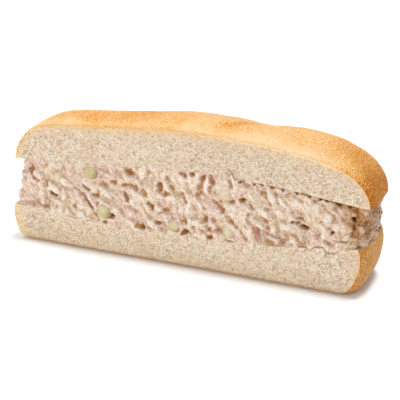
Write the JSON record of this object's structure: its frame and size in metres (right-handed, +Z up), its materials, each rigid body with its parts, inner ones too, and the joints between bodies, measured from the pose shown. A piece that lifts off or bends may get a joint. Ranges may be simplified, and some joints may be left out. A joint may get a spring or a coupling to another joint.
{
  "type": "tuna salad sub",
  "caption": "Soft sub roll filled with a thick layer of tuna salad, one long side sliced off flat so that bread, flaked filling and celery show.",
  "frame": {"origin": "centre of the underside of the bounding box, on the flat base of the bottom half", "axes": "+X along the roll, +Y from the cut face towards the crusted back, +Z up"},
  "size_m": [0.1762, 0.0464, 0.0683],
  "materials": {
    "bread": "baked soft crust, golden, low sheen; pale fine crumb at the cut",
    "tuna_salad": "moist flaked tuna in mayonnaise, soft sheen",
    "celery": "wet cut celery, slightly translucent"
  },
  "bodies": {
    "root": {"bun_bottom": "bread", "bun_top": "bread", "tuna_filling": "tuna_salad", "celery_1": "celery", "celery_2": "celery", "celery_3": "celery", "celery_4": "celery", "celery_5": "celery", "celery_6": "celery", "celery_7": "celery"}
  },
  "joints": []
}
